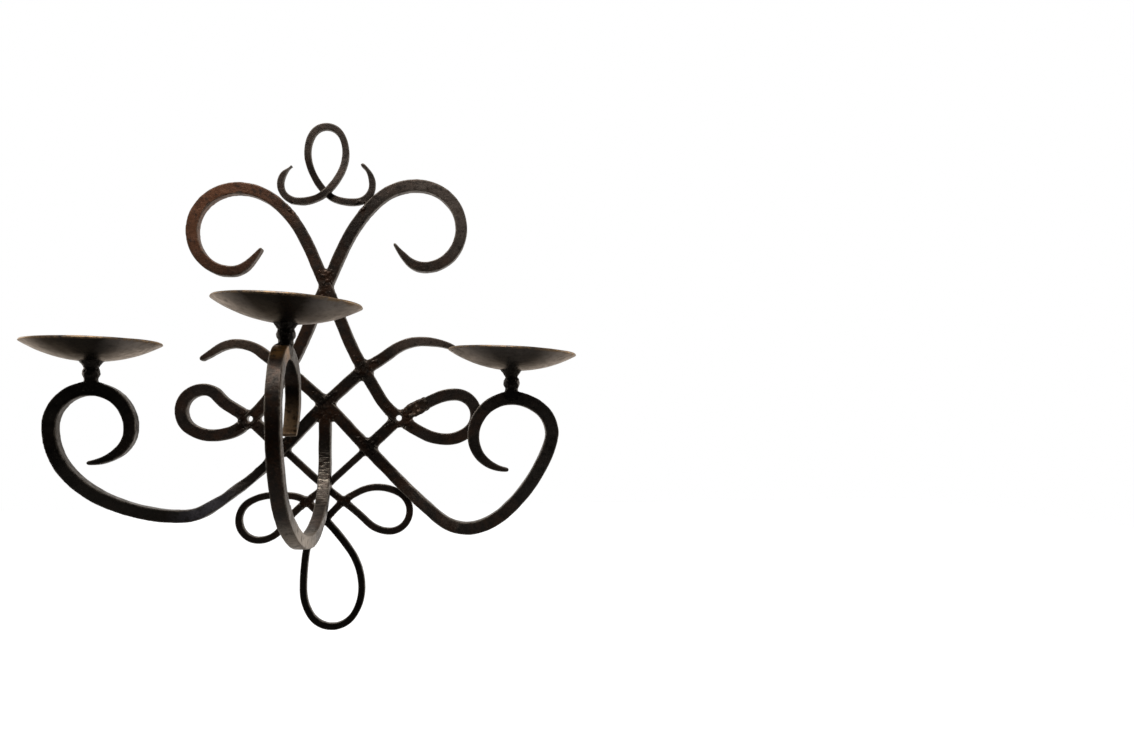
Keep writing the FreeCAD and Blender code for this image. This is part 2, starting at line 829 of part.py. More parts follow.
def draw_pan(sketch):
    """A shallow dish of even thickness, with its lip cut level."""
    radius = size("pan_diameter") / 2.0
    depth = size("pan_depth")
    thickness = size("pan_thickness")
    ball = (radius * radius + depth * depth) / (2.0 * depth)
    middle = Vector(0, ball, 0)
    drawing_normal = Vector(0, 0, 1)
    lip_inside = Vector(math.sqrt((ball - thickness) ** 2 - (ball - depth) ** 2), depth, 0)
    bottom = -math.pi / 2.0
    outer_end = math.atan2(depth - ball, radius)
    inner_end = math.atan2(depth - ball, lip_inside.x)
    outer_circle = Part.Circle(middle, drawing_normal, ball)
    inner_circle = Part.Circle(middle, drawing_normal, ball - thickness)
    sketch.addGeometry(Part.ArcOfCircle(outer_circle, bottom, outer_end), False)
    sketch.addGeometry(Part.ArcOfCircle(inner_circle, bottom, inner_end), False)
    sketch.addGeometry(Part.LineSegment(Vector(radius, depth, 0), lip_inside), False)
    sketch.addGeometry(Part.LineSegment(Vector(0, thickness, 0), Vector(0, 0, 0)), False)
    start, end, centre_point = 1, 2, 3
    outer, inner, lip, axis, origin, upright = 0, 1, 2, 3, -1, -2
    sketch.addConstraint([
        Sketcher.Constraint("Coincident", outer, start, origin, 1),
        Sketcher.Constraint("PointOnObject", outer, centre_point, upright),
        Sketcher.Constraint("Coincident", inner, centre_point, outer, centre_point),
        Sketcher.Constraint("Coincident", outer, end, lip, start),
        Sketcher.Constraint("Coincident", lip, end, inner, end),
        Sketcher.Constraint("Coincident", inner, start, axis, start),
        Sketcher.Constraint("Coincident", axis, end, origin, 1),
        Sketcher.Constraint("PointOnObject", axis, start, upright),
        Sketcher.Constraint("Horizontal", lip),
    ])
    driven = (
        ("DistanceX", origin, 1, outer, end, radius, "sizes.pan_diameter / 2"),
        ("DistanceY", origin, 1, outer, end, depth, "sizes.pan_depth"),
        ("DistanceY", origin, 1, axis, start, thickness, "sizes.pan_thickness"),
    )
    for kind, first, first_point, second, second_point, length, formula in driven:
        distance = Sketcher.Constraint(kind, first, first_point, second, second_point, length)
        index = sketch.addConstraint(distance)
        sketch.setExpression("Constraints[%d]" % index, formula)


def draw_stem(sketch, height):
    """A hammered bead with a neck above it that flares to the pan. Both ends run into what
    they seat on, and are cut to it."""
    neck_radius = size("stem_neck_radius")
    flare_radius = size("stem_flare_radius")
    bead_middle = size("stem_bead_middle")
    bead_rise = size("stem_bead_rise")
    seat = size("stem_seat")
    bottom = Vector(0, -seat, 0)
    foot = Vector(size("stem_foot_radius"), -seat, 0)
    bead_low = Vector(neck_radius, bead_middle - bead_rise, 0)
    bead_out = Vector(size("stem_bead_radius"), bead_middle, 0)
    bead_high = Vector(neck_radius, bead_middle + bead_rise, 0)
    flare_low = Vector(neck_radius, height - size("stem_flare_rise"), 0)
    flare_high = Vector(flare_radius, height, 0)
    flare_middle = (flare_low + flare_high) * 0.5 + Vector(-0.3, 0.3, 0)
    top_edge = Vector(flare_radius, height + seat, 0)
    top = Vector(0, height + seat, 0)
    outline = [
        Part.LineSegment(bottom, foot),
        Part.LineSegment(foot, bead_low),
        Part.Arc(bead_low, bead_out, bead_high),
        Part.LineSegment(bead_high, flare_low),
        Part.Arc(flare_low, flare_middle, flare_high),
        Part.LineSegment(flare_high, top_edge),
        Part.LineSegment(top_edge, top),
        Part.LineSegment(top, bottom),
    ]
    add_outline(sketch, outline)


SPIRAL_TOPS = {
    "left": (
        "-(sizes.spiral_top_out + sizes.left_arm_spread)",
        "-sizes.spiral_reach",
        "sizes.spiral_top_height + sizes.left_arm_rise",
    ),
    "centre": ("0", "-sizes.centre_top_reach", "sizes.centre_top_height"),
    "right": ("sizes.spiral_top_out", "-sizes.spiral_reach", "sizes.spiral_top_height"),
}


def place_over_spiral(body, name, above, tilt="0"):
    """Ties a body's place to the top of a spiral. A tilt lowers its right-hand side."""
    across, along_room, top_height = SPIRAL_TOPS[name]
    body.Placement = FreeCAD.Placement(Vector(), FreeCAD.Rotation(Vector(0, 1, 0), 0))
    body.setExpression("Placement.Base.x", across)
    body.setExpression("Placement.Base.y", along_room)
    body.setExpression("Placement.Base.z", "%s + sizes.bar_size / 2 + %s" % (top_height, above))
    body.setExpression("Placement.Rotation.Angle", tilt)


for name in SPIRAL_TOPS:
    pan = revolved("pan_" + name, draw_pan)
    place_over_spiral(pan, name, "sizes.%s_stem_height" % name, "sizes.%s_pan_tilt" % name)
    stem = revolved("stem_" + name, draw_stem, size(name + "_stem_height"))
    place_over_spiral(stem, name, "0")
    document.recompute()
    keep("pan_" + name, pan)
    keep("stem_" + name, coped("stem_" + name, stem, parts["arm_" + name], pan))


# Checking and writing

document.recompute()
for item in document.Objects:
    if "Invalid" in item.State or "Error" in item.State:
        raise RuntimeError("%s failed: %s" % (item.Label, item.State))
for name, piece in parts.items():
    if piece.Shape.isNull() or not piece.Shape.isValid():
        raise RuntimeError("%s has no valid shape" % name)
    if len(piece.Shape.Solids) != 1:
        raise RuntimeError("%s has %d solids" % (name, len(piece.Shape.Solids)))

os.makedirs("parts", exist_ok=True)
for name, piece in parts.items():
    piece.Shape.exportStep("parts/%s.step" % name)
    box = piece.Shape.BoundBox
    print("%-18s %8.1f mm3  %6.1f x %6.1f x %6.1f mm" % (
        name, piece.Shape.Volume, box.XLength, box.YLength, box.ZLength))
print("%d pieces" % len(parts))
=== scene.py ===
# %% [markdown]
# # A candle sconce of bent and welded bar
# The real object is a wall sconce for three candles. A smith bent it from square iron bar, drew
# the ends out thin, welded the crossings, and waxed it nearly black. The solid model gives every
# bar its place and size. This lesson gives the bars their hammered faces and soft corners, adds
# the welds, turns the candle pans again with a fine lip, and mixes the finishes: black forge
# scale with brown patina, grey worn edges, and dull sheet iron.

# %% Load the solid model
import bpy
import math
import numpy
from mathutils import Matrix, Vector


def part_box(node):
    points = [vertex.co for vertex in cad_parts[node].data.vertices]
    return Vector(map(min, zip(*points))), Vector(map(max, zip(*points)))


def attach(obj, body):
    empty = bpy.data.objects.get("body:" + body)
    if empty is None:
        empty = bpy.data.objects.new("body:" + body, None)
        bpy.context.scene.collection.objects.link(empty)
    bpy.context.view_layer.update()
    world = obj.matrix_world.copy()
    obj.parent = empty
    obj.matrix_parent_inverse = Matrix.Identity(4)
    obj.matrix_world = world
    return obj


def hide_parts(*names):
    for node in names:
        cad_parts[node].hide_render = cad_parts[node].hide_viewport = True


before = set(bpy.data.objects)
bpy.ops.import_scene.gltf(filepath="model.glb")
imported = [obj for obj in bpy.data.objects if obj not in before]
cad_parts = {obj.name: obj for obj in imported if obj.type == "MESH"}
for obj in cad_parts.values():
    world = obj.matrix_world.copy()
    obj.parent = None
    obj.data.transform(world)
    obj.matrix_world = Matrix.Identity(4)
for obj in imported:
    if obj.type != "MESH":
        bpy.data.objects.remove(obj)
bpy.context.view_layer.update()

print("solid model:", len(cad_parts), "nodes")

# %% [markdown]
# ## Units and small helpers
# All lengths below are written in millimetres, as on a smith's drawing, and turned to Blender's
# metres by one factor. Operators act on everything that is selected, so each step first selects
# just what it needs.

# %% Units and selection
MM = 0.001
BAR = 12.0
THIN_BAR = 7.0


def select_only(piece):
    """Selects one piece and makes it the active one."""
    bpy.ops.object.select_all(action="DESELECT")
    piece.select_set(True)
    bpy.context.view_layer.objects.active = piece


def edit_all(piece):
    """Opens a piece in edit mode with all of it selected."""
    select_only(piece)
    bpy.ops.object.mode_set(mode="EDIT")
    bpy.ops.mesh.select_all(action="SELECT")


def leave_edit():
    bpy.ops.object.mode_set(mode="OBJECT")


print("the bars are", BAR, "and", THIN_BAR, "mm square")

# %% [markdown]
# ## Modifiers, applied at once
# Remeshing, smoothing and displacing come back for bars, stems, welds and pans, so each gets a
# short helper. A copied solid arrives as loose triangles, which are joined up before anything
# else, because a remesh needs a closed skin.

# %% Modifier helpers
SAME_POINT = 0.001
WALL_GAP = 0.1


def finish_modifier(piece, kind, **settings):
    """Adds a modifier with its settings and applies it."""
    select_only(piece)
    bpy.ops.object.modifier_add(type=kind)
    modifier = piece.modifiers[-1]
    for name, value in settings.items():
        setattr(modifier, name, value)
    bpy.ops.object.modifier_apply(modifier=modifier.name)


def remesh(piece, grain):
    """Rebuilds the skin from cubes of one size."""
    finish_modifier(piece, "REMESH", mode="VOXEL", voxel_size=grain * MM, use_smooth_shade=True)


def roughen(piece, texture, height, middle):
    """Moves the skin by a texture. With a middle of 1 it only moves inwards."""
    finish_modifier(piece, "DISPLACE", texture=texture, texture_coords="LOCAL",
                    mid_level=middle, strength=height * MM)


def copy_of(node_name, piece_name):
    """A copy of a solid's mesh with its own data. Its loose triangles are joined up."""
    select_only(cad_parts[node_name])
    bpy.ops.object.duplicate()
    piece = bpy.context.active_object
    piece.name = piece_name
    piece.data.name = piece_name
    piece.data.materials.clear()
    edit_all(piece)
    bpy.ops.mesh.remove_doubles(threshold=SAME_POINT * MM)
    leave_edit()
    return piece


def press_back_flat(piece):
    """The back of the frame lies flat on the wall, so no point may stand out behind it."""
    for vertex in piece.data.vertices:
        vertex.co.y = min(vertex.co.y, -WALL_GAP * MM)


print("points within", SAME_POINT, "mm are joined; the back stays", WALL_GAP, "mm off the wall")

# %% [markdown]
# ## Textures that move the surface
# Hammer blows leave shallow dents about as wide as the bar, and fire scale leaves a finer
# unevenness. Both are made as textures for the Displace modifier, which reads them at the real
# place of each point, so neighbouring bars don't repeat each other's marks.

# %% Hammer dents, scale and weld lumps
hammer_dents = bpy.data.textures.new("hammer dents", "VORONOI")
hammer_dents.noise_scale = 14.0 * MM
scale_waves = bpy.data.textures.new("forge scale waves", "CLOUDS")
scale_waves.noise_scale = 9.0 * MM
scale_waves.noise_depth = 2
weld_lumps = bpy.data.textures.new("weld lumps", "CLOUDS")
weld_lumps.noise_scale = 2.6 * MM
weld_lumps.noise_depth = 1
print("textures:", [texture.name for texture in bpy.data.textures])

# %% [markdown]
# ## Forged bars
# A bar fresh from the solid model has knife-sharp corners and dead flat faces. Remeshing it in
# small cubes and smoothing it a little rounds the corners as forging does, and gives enough
# points for the dents. The displacement only cuts inwards, so that the bar keeps its size.

# %% Which bars, and how hard each kind was worked
THICK_NODES = (
    "scroll_bar_left", "scroll_bar_right", "brace_left", "horn_left", "horn_right",
    "side_loop_left", "side_loop_right", "arm_right", "arm_left", "arm_centre",
    "cross_bar", "strut_left", "strut_right",
)
THIN_NODES = (
    "tie_long", "tie_right", "tie_left", "curl_left", "curl_right",
    "link_right", "link_left", "teardrop", "crown",
)
STEM_NODES = ("stem_left", "stem_centre", "stem_right")
# The grain is the edge of a remesh cube. Dents and waves are depths. The rounds are of smoothing.
THICK_WORK = {"grain": 0.85, "dent": 0.4, "wave": 0.25, "rounds": 8}
THIN_WORK = {"grain": 0.6, "dent": 0.2, "wave": 0.25, "rounds": 4}
STEM_WORK = {"grain": 0.5, "dent": 0.5, "wave": 0.9, "rounds": 2}
INWARDS = 1.0
LAST_ROUNDS = 2


def forged(node_name, grain, dent, wave, rounds):
    """Stands for one solid: remeshed in cubes of one grain, smoothed, and dented by hammer."""
    piece = copy_of(node_name, node_name + "_forged")
    remesh(piece, grain)
    finish_modifier(piece, "SMOOTH", factor=0.5, iterations=rounds)
    roughen(piece, hammer_dents, dent, INWARDS)
    roughen(piece, scale_waves, wave, INWARDS)
    finish_modifier(piece, "SMOOTH", factor=0.5, iterations=LAST_ROUNDS)
    press_back_flat(piece)
    return piece


thick_bars = {name: forged(name, **THICK_WORK) for name in THICK_NODES}
thin_bars = {name: forged(name, **THIN_WORK) for name in THIN_NODES}
print(len(thick_bars), "thick bars and", len(thin_bars), "thin bars")

# %% [markdown]
# ## The left elbow
# From the front the solid's left elbow is taller than the real one, which keeps an even width
# round the bend. The copy is dressed to that width by moving its points: those below come up,
# those above go down, and those between move in proportion. Operators can't do this by a curve
# of amounts, so it is done point by point. The four rows go together, one column for each place
# along the elbow.

# %% Dress the left elbow
ELBOW_OUT = (-110.0, -92.0, -80.0, -70.0, -66.0, -62.0, -56.0, -44.0)
ELBOW_MIDDLE = (-86.5, -76.5, -68.0, -61.0, -55.5, -51.3, -46.5, -32.0)
RAISE_BELOW = (0.0, 1.6, 4.2, 3.6, 3.2, 3.2, 3.6, 0.0)
LOWER_ABOVE = (0.0, 0.0, 0.0, 0.4, 2.5, 3.1, 1.6, 0.0)
ELBOW_HEIGHT = 19.0


def dress_elbow(piece):
    """Takes the left elbow down to an even width, from above and below."""
    for vertex in piece.data.vertices:
        x, z = vertex.co.x / MM, vertex.co.z / MM
        above = z - numpy.interp(x, ELBOW_OUT, ELBOW_MIDDLE)
        height = min(max(0.5 + above / ELBOW_HEIGHT, 0.0), 1.0)
        up = (1.0 - height) * numpy.interp(x, ELBOW_OUT, RAISE_BELOW)
        down = height * numpy.interp(x, ELBOW_OUT, LOWER_ABOVE)
        vertex.co.z += (up - down) * MM


dress_elbow(thick_bars["arm_left"])
print("left elbow moved by up to", max(RAISE_BELOW), "mm below and", max(LOWER_ABOVE), "mm above")

# %% [markdown]
# ## Stems
# Each stem is a short thick stub between the spiral and its pan, left rough from the fire. It
# is forged as the bars are, with deeper waves and less smoothing.

# %% Forge the stems
stems = {name: forged(name, **STEM_WORK) for name in STEM_NODES}
for pieces in (thick_bars, thin_bars, stems):
    for name, piece in pieces.items():
        print(name, len(piece.data.polygons), "faces")

# %% [markdown]
# ## Welds
# Where bars cross, one runs through and the others end on it, and the smith filled the corners
# with weld. Each weld is made from the bars themselves: their copies are cut to a ball round the
# crossing, joined and remeshed. Smoothing then draws the inner corners out and the outer corners
# in, so only the filled corners show beyond the bars.

# %% Where the bars cross
KNOTS = {
    "top": (0.0, 127.5),
    "upper_left": (-36.0, 47.0),
    "upper_right": (36.0, 47.0),
    "centre": (0.0, 14.0),
    "screw_left": (-70.0, 0.0),
    "screw_right": (70.0, 0.0),
    "lower_left": (-40.0, -28.7),
    "lower_right": (40.0, -28.7),
    "tie": (0.0, -65.5),
    "curl_left": (-17.0, -79.2),
    "curl_right": (17.0, -79.2),
    "neck": (0.0, -96.7),
    "crown_left": (-31.0, 203.0),
    "crown_right": (33.0, 205.0),
}
THICK_WELDS = {
    "top": ("scroll_bar_left", "scroll_bar_right", "brace_left"),
    "upper_left": ("brace_left", "horn_left", "arm_right"),
    "upper_right": ("scroll_bar_left", "horn_right", "cross_bar"),
    "centre": ("arm_right", "arm_left", "cross_bar", "arm_centre"),
    "screw_left": ("brace_left", "side_loop_left", "strut_left"),
    "screw_right": ("scroll_bar_left", "side_loop_right", "strut_right"),
    "lower_left": ("arm_left", "strut_left", "tie_long"),
    "lower_right": ("arm_right", "strut_right", "tie_right"),
}
THIN_WELDS = {
    "tie": ("tie_long", "tie_right", "tie_left", "arm_centre"),
    "curl_left": ("tie_left", "curl_left", "link_left"),
    "curl_right": ("tie_long", "curl_right", "link_right"),
    "neck": ("link_right", "link_left", "teardrop"),
    "crown_left": ("crown", "scroll_bar_left"),
    "crown_right": ("crown", "scroll_bar_right"),
}
print(len(KNOTS), "crossings")

# %% [markdown]
# ## Cutting, joining and filling
# A ball is a fair cutter for a weld, because it leaves no flat end to catch the light once the
# piece is smoothed. The screw holes are drilled again afterwards, as a smith would with a bit.

# %% Tools for the welds
SCREW_RADIUS = 2.75
BIT_LENGTH = 40.0
WELD_MIDDLE = 0.6


def knot_place(name, reach):
    """The middle of a crossing, at a reach from the wall."""
    across, up = KNOTS[name]
    return Vector((across, -reach, up)) * MM


def cut_to_ball(piece, place, radius):
    """Keeps only what lies inside a ball."""
    bpy.ops.object.select_all(action="DESELECT")
    bpy.ops.mesh.primitive_ico_sphere_add(subdivisions=4, radius=radius * MM, location=place)
    ball = bpy.context.active_object
    finish_modifier(piece, "BOOLEAN", operation="INTERSECT", solver="EXACT", object=ball)
    bpy.data.objects.remove(ball)


def joined(pieces, name):
    """Several pieces as one, under one name."""
    bpy.ops.object.select_all(action="DESELECT")
    for piece in pieces:
        piece.select_set(True)
    bpy.context.view_layer.objects.active = pieces[0]
    bpy.ops.object.join()
    pieces[0].name = name
    pieces[0].data.name = name
    return pieces[0]


def drill_screw_hole(piece, out):
    """Opens the screw hole again where weld has run into it."""
    bpy.ops.object.select_all(action="DESELECT")
    bpy.ops.mesh.primitive_cylinder_add(
        vertices=48, radius=SCREW_RADIUS * MM, depth=BIT_LENGTH * MM,
        location=(out * MM, -BAR / 2.0 * MM, 0), rotation=(math.radians(90), 0, 0))
    bit = bpy.context.active_object
    finish_modifier(piece, "BOOLEAN", operation="DIFFERENCE", solver="EXACT", object=bit)
    bpy.data.objects.remove(bit)


def fillet_weld(name, nodes, place, radius, grain, rounds, lump, extra=()):
    """The filled corners of one crossing."""
    stubs = list(extra)
    for node_name in nodes:
        stub = copy_of(node_name, "stub_" + node_name)
        cut_to_ball(stub, place, radius)
        stubs.append(stub)
    weld = joined(stubs, name)
    remesh(weld, grain)
    finish_modifier(weld, "SMOOTH", factor=0.8, iterations=rounds)
    roughen(weld, weld_lumps, lump, WELD_MIDDLE)
    press_back_flat(weld)
    return weld


print("screw holes are", 2.0 * SCREW_RADIUS, "mm wide")

# %% [markdown]
# ## Fill the crossings
# Thick crossings are smoothed many times, so that the weld runs well into the corners. Thin ones
# would melt away under that, so they get a finer grain and fewer rounds.

# %% Welds at the crossings
THICK_WELD = {"radius": BAR * 1.75, "grain": 0.8, "rounds": 80, "lump": 1.1}
THIN_WELD = {"radius": THIN_BAR * 1.5, "grain": 0.55, "rounds": 24, "lump": 0.9}
welds = []
for table, stock, work in ((THICK_WELDS, BAR, THICK_WELD), (THIN_WELDS, THIN_BAR, THIN_WELD)):
    for name, nodes in table.items():
        place = knot_place(name, stock / 2.0)
        welds.append(fillet_weld("weld_" + name, nodes, place, **work))
for name in ("screw_left", "screw_right"):
    drill_screw_hole(bpy.data.objects["weld_" + name], KNOTS[name][0])
print(len(welds), "welds at crossings")

# %% [markdown]
# ## A rough stretch on the right loop
# Just beyond the right screw hole the bar is lumpy, which is read here as weld that was never
# dressed. The strand is copied, cut to a ball round that stretch, and given much bigger lumps.

# %% The rough stretch
ROUGH_PLACE = (87.0, -6.0, 10.0)
ROUGH_RADIUS = 13.0
rough_lumps = bpy.data.textures.new("rough weld lumps", "CLOUDS")
rough_lumps.noise_scale = 6.5 * MM
rough_lumps.noise_depth = 1
rough = copy_of("side_loop_right", "weld_rough_stretch")
cut_to_ball(rough, Vector(ROUGH_PLACE) * MM, ROUGH_RADIUS)
remesh(rough, grain=0.6)
finish_modifier(rough, "SMOOTH", factor=0.6, iterations=26)
roughen(rough, rough_lumps, height=3.6, middle=0.45)
press_back_flat(rough)
print("rough stretch", len(rough.data.polygons), "faces")

# %% [markdown]
# ## Candle pans
# Each pan is a shallow dish of sheet iron with waves left by the hammer. A sphere of the right
# radius is cut at the height of the lip, given the thickness of the sheet, and its lip is
# rounded. A sphere is used because a raised dish is close to one, and one cut makes the rim.

# %% Sizes of the pans
PAN_DIAMETER = 112.0
PAN_DEPTH = 15.5
SHEET = 1.7
LIP_ROUND = 0.45
RIM_ROOM = 0.35
LIP_ROOM = 0.1
PAN_TILT = {"pan_left": 0.8, "pan_centre": 3.4, "pan_right": 3.0}
PAN_BOTTOM = {
    "pan_left": (-176.5, -125.0, 45.75),
    "pan_centre": (0.0, -237.0, 65.6),
    "pan_right": (173.0, -125.0, 38.1),
}
pan_waves = bpy.data.textures.new("planishing waves", "CLOUDS")
pan_waves.noise_scale = 22.0 * MM
pan_waves.noise_depth = 1
print("pans are", PAN_DIAMETER, "mm across and", PAN_DEPTH, "mm deep")

# %% Turn the pans


def candle_pan(node_name):
    """A dish cut from a sphere, tilted about its lowest point."""
    rim_radius = PAN_DIAMETER / 2.0 - RIM_ROOM
    ball = (rim_radius ** 2 + PAN_DEPTH ** 2) / (2.0 * PAN_DEPTH)
    bpy.ops.object.select_all(action="DESELECT")
    bpy.ops.mesh.primitive_uv_sphere_add(segments=144, ring_count=160, radius=ball * MM,
                                         location=(0, 0, ball * MM))
    pan = bpy.context.active_object
    pan.name = node_name + "_raised"
    pan.data.name = pan.name
    bpy.ops.object.transform_apply(location=True, rotation=True, scale=True)
    edit_all(pan)
    bpy.ops.mesh.bisect(plane_co=(0, 0, (PAN_DEPTH - LIP_ROOM) * MM), plane_no=(0, 0, 1),
                        clear_outer=True)
    bpy.ops.mesh.select_all(action="SELECT")
    bpy.ops.mesh.normals_make_consistent(inside=False)
    leave_edit()
    finish_modifier(pan, "SOLIDIFY", thickness=SHEET * MM, offset=-1.0)
    finish_modifier(pan, "BEVEL", width=LIP_ROUND * MM, segments=2, angle_limit=math.radians(50))
    roughen(pan, pan_waves, height=0.5, middle=0.5)
    turn = Matrix.Rotation(math.radians(PAN_TILT[node_name]), 4, "Y")
    pan.matrix_world = Matrix.Translation(Vector(PAN_BOTTOM[node_name]) * MM) @ turn
    select_only(pan)
    bpy.ops.object.transform_apply(location=True, rotation=True, scale=True)
    bpy.ops.object.shade_smooth_by_angle(angle=math.radians(40))
    return pan


pans = {name: candle_pan(name) for name in PAN_TILT}
print("pans:", [len(pan.data.polygons) for pan in pans.values()], "faces")

# %% [markdown]
# ## Welds above and below the stems
# A stem is welded to its spiral at the foot and to its pan at the head, where the weld spreads
# in a collar. A small cone gives the collar its spread before all is remeshed. What would stand
# up inside the dish is cut off within the thickness of the sheet.

# %% Foot welds and collars
FOOT_WELD = {"radius": BAR * 0.95, "grain": 0.5, "rounds": 20, "lump": 0.9}
COLLAR_WELD = {"radius": BAR * 0.95, "grain": 0.5, "rounds": 14, "lump": 1.2}
FLARE = {"radius1": 6.0 * MM, "radius2": 9.6 * MM, "depth": 5.0 * MM}
END_INSET = 1.0
FLARE_DROP = 1.6
COLLAR_TOP = 0.7
for side in ("left", "centre", "right"):
    low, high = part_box("stem_" + side)
    middle = (Vector(low) + Vector(high)) / 2.0
    seat = Vector((middle.x, middle.y, low[2] + END_INSET * MM))
    under_pan = Vector((middle.x, middle.y, high[2] - END_INSET * MM))
    welds.append(fillet_weld("weld_foot_" + side, ("stem_" + side, "arm_" + side), seat,
                             **FOOT_WELD))
    bpy.ops.object.select_all(action="DESELECT")
    bpy.ops.mesh.primitive_cone_add(vertices=32, **FLARE,
                                    location=under_pan - Vector((0, 0, FLARE_DROP * MM)))
    flare = bpy.context.active_object
    bpy.ops.object.transform_apply(location=True, rotation=True, scale=True)
    collar = fillet_weld("weld_pan_" + side, ("stem_" + side, "pan_" + side), under_pan,
                         extra=[flare], **COLLAR_WELD)
    edit_all(collar)
    cut = (PAN_BOTTOM["pan_" + side][2] + COLLAR_TOP) * MM
    bpy.ops.mesh.bisect(plane_co=(0, 0, cut), plane_no=(0, 0, 1), use_fill=True,
                        clear_outer=True)
    leave_edit()
    welds.append(collar)
print(len(welds), "welds in all")

# %% [markdown]
# ## Put the new pieces in place
# Each forged bar, stem and pan stands for one solid, which is hidden. The welds are extra, so
# they hide nothing. The sconce has no moving part, and everything rides on the one body.

# %% Put the new pieces in place of the solids
for pieces in (thick_bars, thin_bars, stems, pans):
    for node_name, piece in pieces.items():
        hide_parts(node_name)
        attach(piece, "root")
for piece in welds + [rough]:
    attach(piece, "root")
print("every solid has its finished piece")

# %% [markdown]
# ## Finishes
# Colours are written as screen colours in hex and turned to the linear values that the renderer
# works in. One small function adds a node with its settings and its links.

# %% Colour and node helpers
SCALE = "#16110e"
PATINA = "#3d2618"
DEEP_BLACK = "#080605"
BARE_METAL = "#8c8174"
WARM_SHEEN = "#ecdccb"


def linear(hex_colour, alpha=1.0):
    """A screen colour in hex as the renderer's linear values."""
    channels = [int(hex_colour[i:i + 2], 16) / 255.0 for i in (1, 3, 5)]
    values = [c / 12.92 if c <= 0.04045 else ((c + 0.055) / 1.055) ** 2.4 for c in channels]
    return (*values, alpha)


def feed(tree, node, inputs):
    """Sets inputs of a node. Each is a plain value, another node, or an output of one."""
    for key, value in inputs.items():
        if isinstance(value, bpy.types.Node):
            value = next(output for output in value.outputs if output.enabled)
        if isinstance(value, bpy.types.NodeSocket):
            tree.links.new(value, node.inputs[key])
        else:
            node.inputs[key].default_value = value


def add(tree, kind, inputs, **settings):
    """Adds a node with its settings and its inputs."""
    node = tree.nodes.new(kind)
    for name, value in settings.items():
        setattr(node, name, value)
    feed(tree, node, inputs)
    return node


def new_material(name):
    """A new material, its node tree and its shader."""
    material = bpy.data.materials.new(name)
    material.use_nodes = True
    tree = material.node_tree
    shader = next(node for node in tree.nodes if node.type == "BSDF_PRINCIPLED")
    return material, tree, shader


print("black scale is", [round(c, 4) for c in linear(SCALE)])

# %% [markdown]
# ## Tints and chisel marks
# Some stretches have a tint of their own, such as the brown upper left scroll. A tint lies round
# a middle on the bar and fades out at its reach, broken up by the mottle so that its edge looks
# like a stain. Several tints are painted light: the light sweeps on the arms, the grey on the
# right scroll and the pale grey-brown on the horns are painted sheen, and the centre arm carries
# a painted sheen, painted light from below and a painted tan reflection. As tints they stay in
# place when the light changes. The back strand of the centre arm has bright chisel cuts across
# it, made from noise that is stretched sideways and kept to that strand.

# %% Tints and chisel marks
CHISEL_LIMITS = (("Z", -28.0, -42.0), ("Z", -86.0, -66.0), ("Y", -110.0, -80.0))
CHISEL_PITCH = 1.15


def with_tints(tree, place, mottle, colour, tints):
    """Lays tints over a colour. Each is (middle, reach, colour, share), in millimetres."""
    for middle, reach, tint, most in tints:
        apart = add(tree, "ShaderNodeVectorMath", {0: place, 1: Vector(middle) * MM},
                    operation="DISTANCE")
        near = add(tree, "ShaderNodeMapRange", {
            "Value": apart, "From Min": reach * MM, "From Max": reach * 0.3 * MM})
        broken = add(tree, "ShaderNodeMapRange", {
            "Value": mottle, "From Min": 0.25, "From Max": 0.55, "To Max": most})
        near = add(tree, "ShaderNodeMath", {0: near, 1: broken}, operation="MULTIPLY")
        colour = add(tree, "ShaderNodeMix", {"Factor": near, "A": colour, "B": linear(tint)},
                     data_type="RGBA")
    return colour


def chisel_cuts(tree, place):
    """Cuts across the back strand of the centre arm, from 0 beside them to 0.85 in them."""
    spot = add(tree, "ShaderNodeSeparateXYZ", {0: place})
    top, foot, rear = (
        add(tree, "ShaderNodeMapRange", {
            "Value": spot.outputs[axis], "From Min": start * MM, "From Max": full * MM})
        for axis, start, full in CHISEL_LIMITS)
    where = add(tree, "ShaderNodeMath", {0: top, 1: foot}, operation="MULTIPLY")
    where = add(tree, "ShaderNodeMath", {0: where, 1: rear}, operation="MULTIPLY")
    flat = add(tree, "ShaderNodeMapping", {
        "Vector": place, "Scale": (0.1, 0.1, 1.0), "Rotation": (0, math.radians(5), 0)})
    cuts = add(tree, "ShaderNodeTexNoise", {
        "Vector": flat, "Scale": 1 / (CHISEL_PITCH * MM), "Detail": 1.0, "Roughness": 0.4})
    cuts = add(tree, "ShaderNodeMapRange", {
        "Value": cuts, "From Min": 0.53, "From Max": 0.62, "To Max": 0.85})
    return add(tree, "ShaderNodeMath", {0: cuts, 1: where}, operation="MULTIPLY")


print("chisel cuts are", CHISEL_PITCH, "mm apart")

# %% [markdown]
# ## Blackened wrought iron
# Hot iron grows a skin of black scale. Wax keeps it dark and gives it a low sheen, brown patina
# lies over it in clouds as wide as a thumb, pits are about a millimetre across, and rubbing
# bares grey metal along the corners. The corners are found from the shape itself, by how
# sharply it turns.

# %% Forged bar finish
# Width in millimetres, detail and roughness of the clouds, the mottle and the pits.
IRON_NOISES = ((26.0, 6.0, 0.65), (6.0, 5.0, 0.66), (1.4, 3.0, 0.6))


